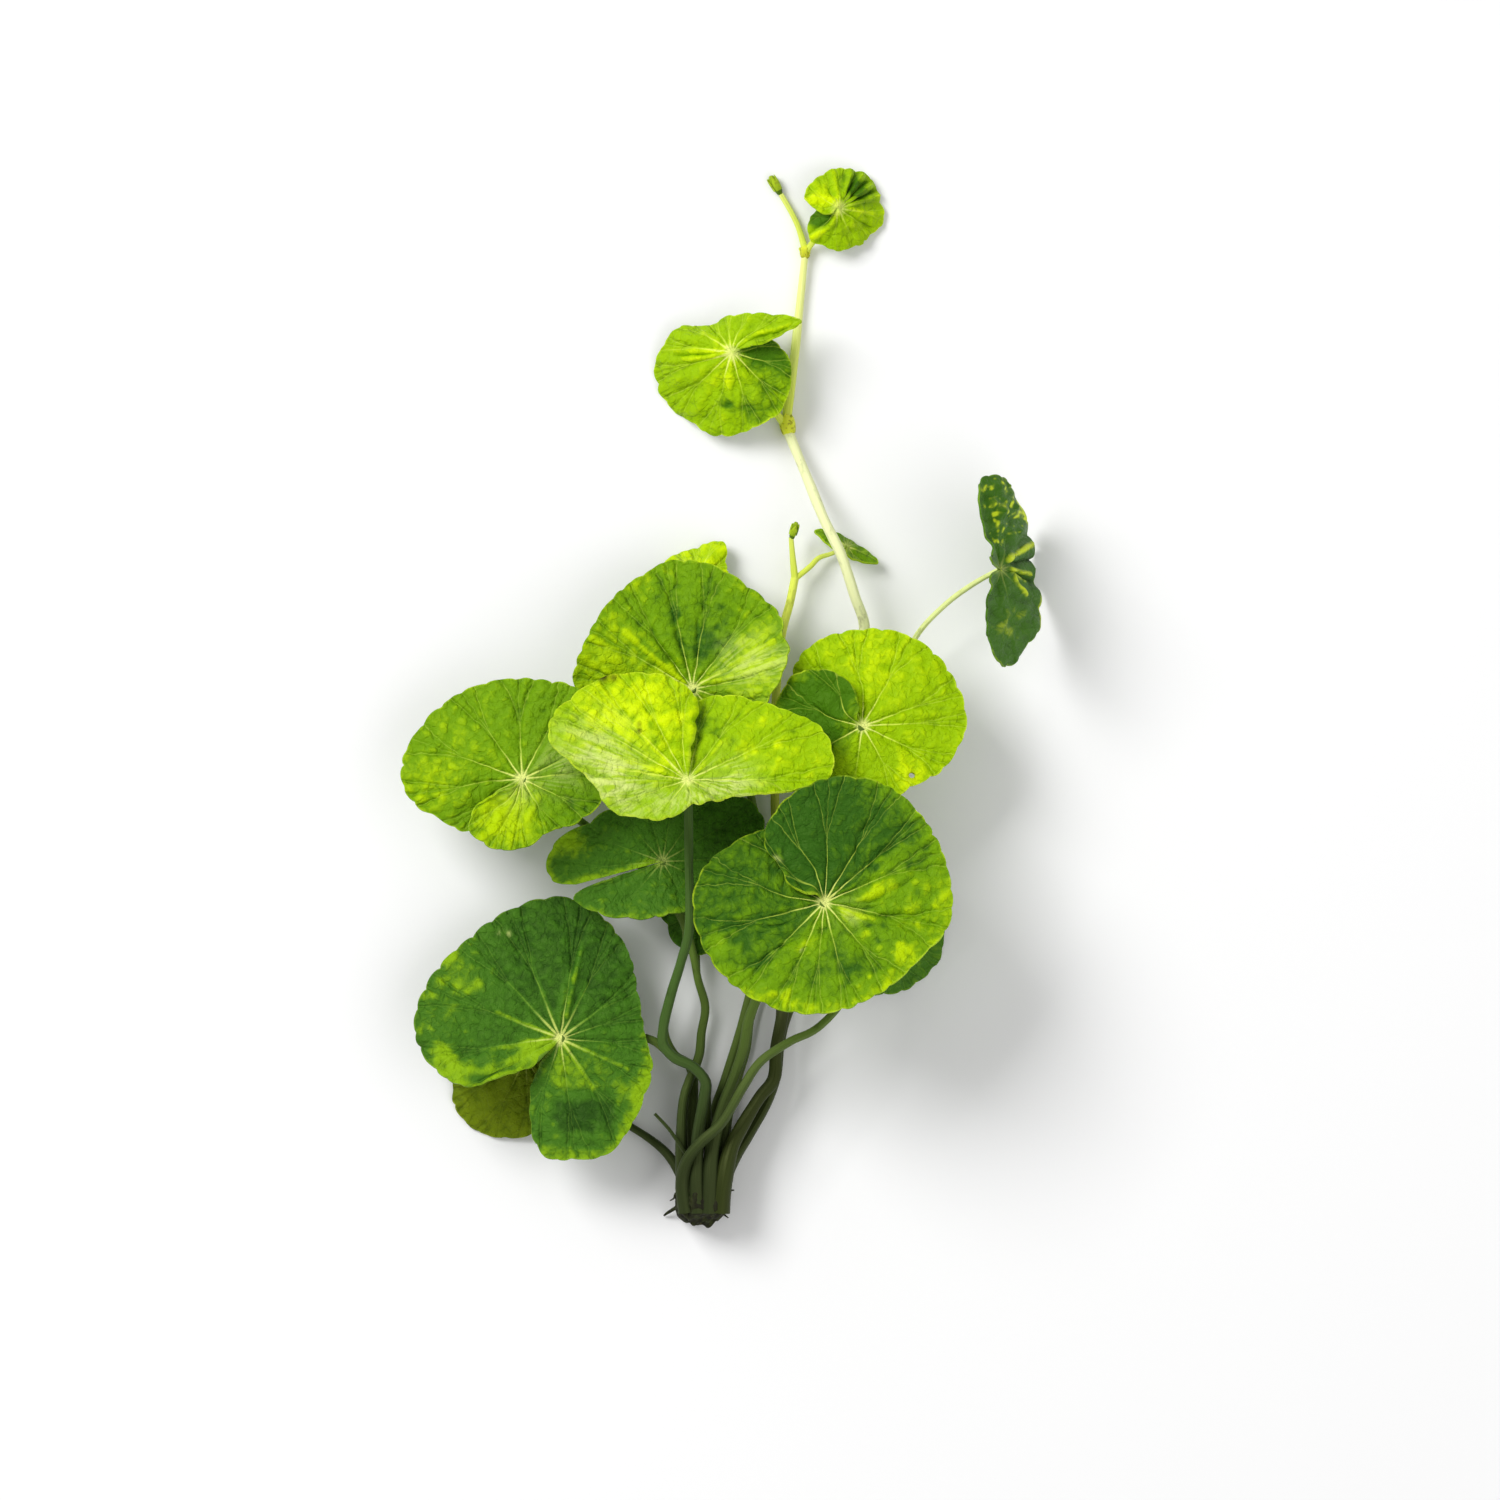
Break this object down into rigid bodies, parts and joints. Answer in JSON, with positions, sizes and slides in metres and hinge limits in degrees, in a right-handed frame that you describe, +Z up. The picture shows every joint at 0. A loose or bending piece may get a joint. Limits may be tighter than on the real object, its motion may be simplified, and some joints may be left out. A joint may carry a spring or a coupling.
{
  "type": "pennywort plant clump",
  "caption": "Picked clump of pennywort lying flat: round kidney leaves on long stalks from a short crown, with a runner that carries smaller leaves.",
  "frame": {"origin": "on the surface the plant lies on, under the middle of its length and width", "axes": "+Y from the cut crown to the runner's tip, +Z up from the surface, +X to the right with the upper leaf faces seen"},
  "size_m": [0.1156, 0.19, 0.0398],
  "materials": {
    "leaf_bright": "satin yellow-green blade, thin and slightly translucent",
    "leaf_green": "satin mid-green blade with pale veins",
    "leaf_deep": "satin dark green blade with pale veins",
    "stem_olive": "smooth olive stalk",
    "stem_pale": "smooth pale yellow-green runner",
    "crown_dark": "rough dark brown-green stock"
  },
  "bodies": {
    "root": {"crown": "crown_dark", "petiole_front": "stem_olive", "petiole_centre": "stem_olive", "petiole_right": "stem_olive", "petiole_left": "stem_olive", "petiole_back": "stem_olive", "petiole_mid": "stem_olive", "petiole_low": "stem_olive", "petiole_under": "stem_olive", "petiole_behind_front": "stem_olive", "petiole_behind_mid": "stem_olive", "petiole_side": "stem_olive", "petiole_peek": "stem_olive", "stalk_thin": "stem_olive", "shoot_stem": "stem_pale", "shoot_tip": "stem_pale", "petiole_edge": "stem_pale", "runner_lower": "stem_pale", "petiole_runner": "stem_pale", "runner_upper": "stem_pale", "petiole_top": "stem_pale", "runner_tip": "stem_pale", "runner_node_1": "stem_pale", "runner_node_2": "stem_pale", "runner_bud": "stem_pale", "shoot_bud": "stem_pale", "leaf_front": "leaf_green", "leaf_centre": "leaf_bright", "leaf_right": "leaf_bright", "leaf_left": "leaf_green", "leaf_back": "leaf_green", "leaf_mid": "leaf_deep", "leaf_low": "leaf_deep", "leaf_under": "leaf_green", "leaf_behind_front": "leaf_deep", "leaf_behind_mid": "leaf_green", "leaf_peek": "leaf_bright", "leaf_runner": "leaf_bright", "leaf_top": "leaf_bright", "leaf_side": "leaf_deep", "leaf_edge": "leaf_deep"}
  },
  "joints": []
}
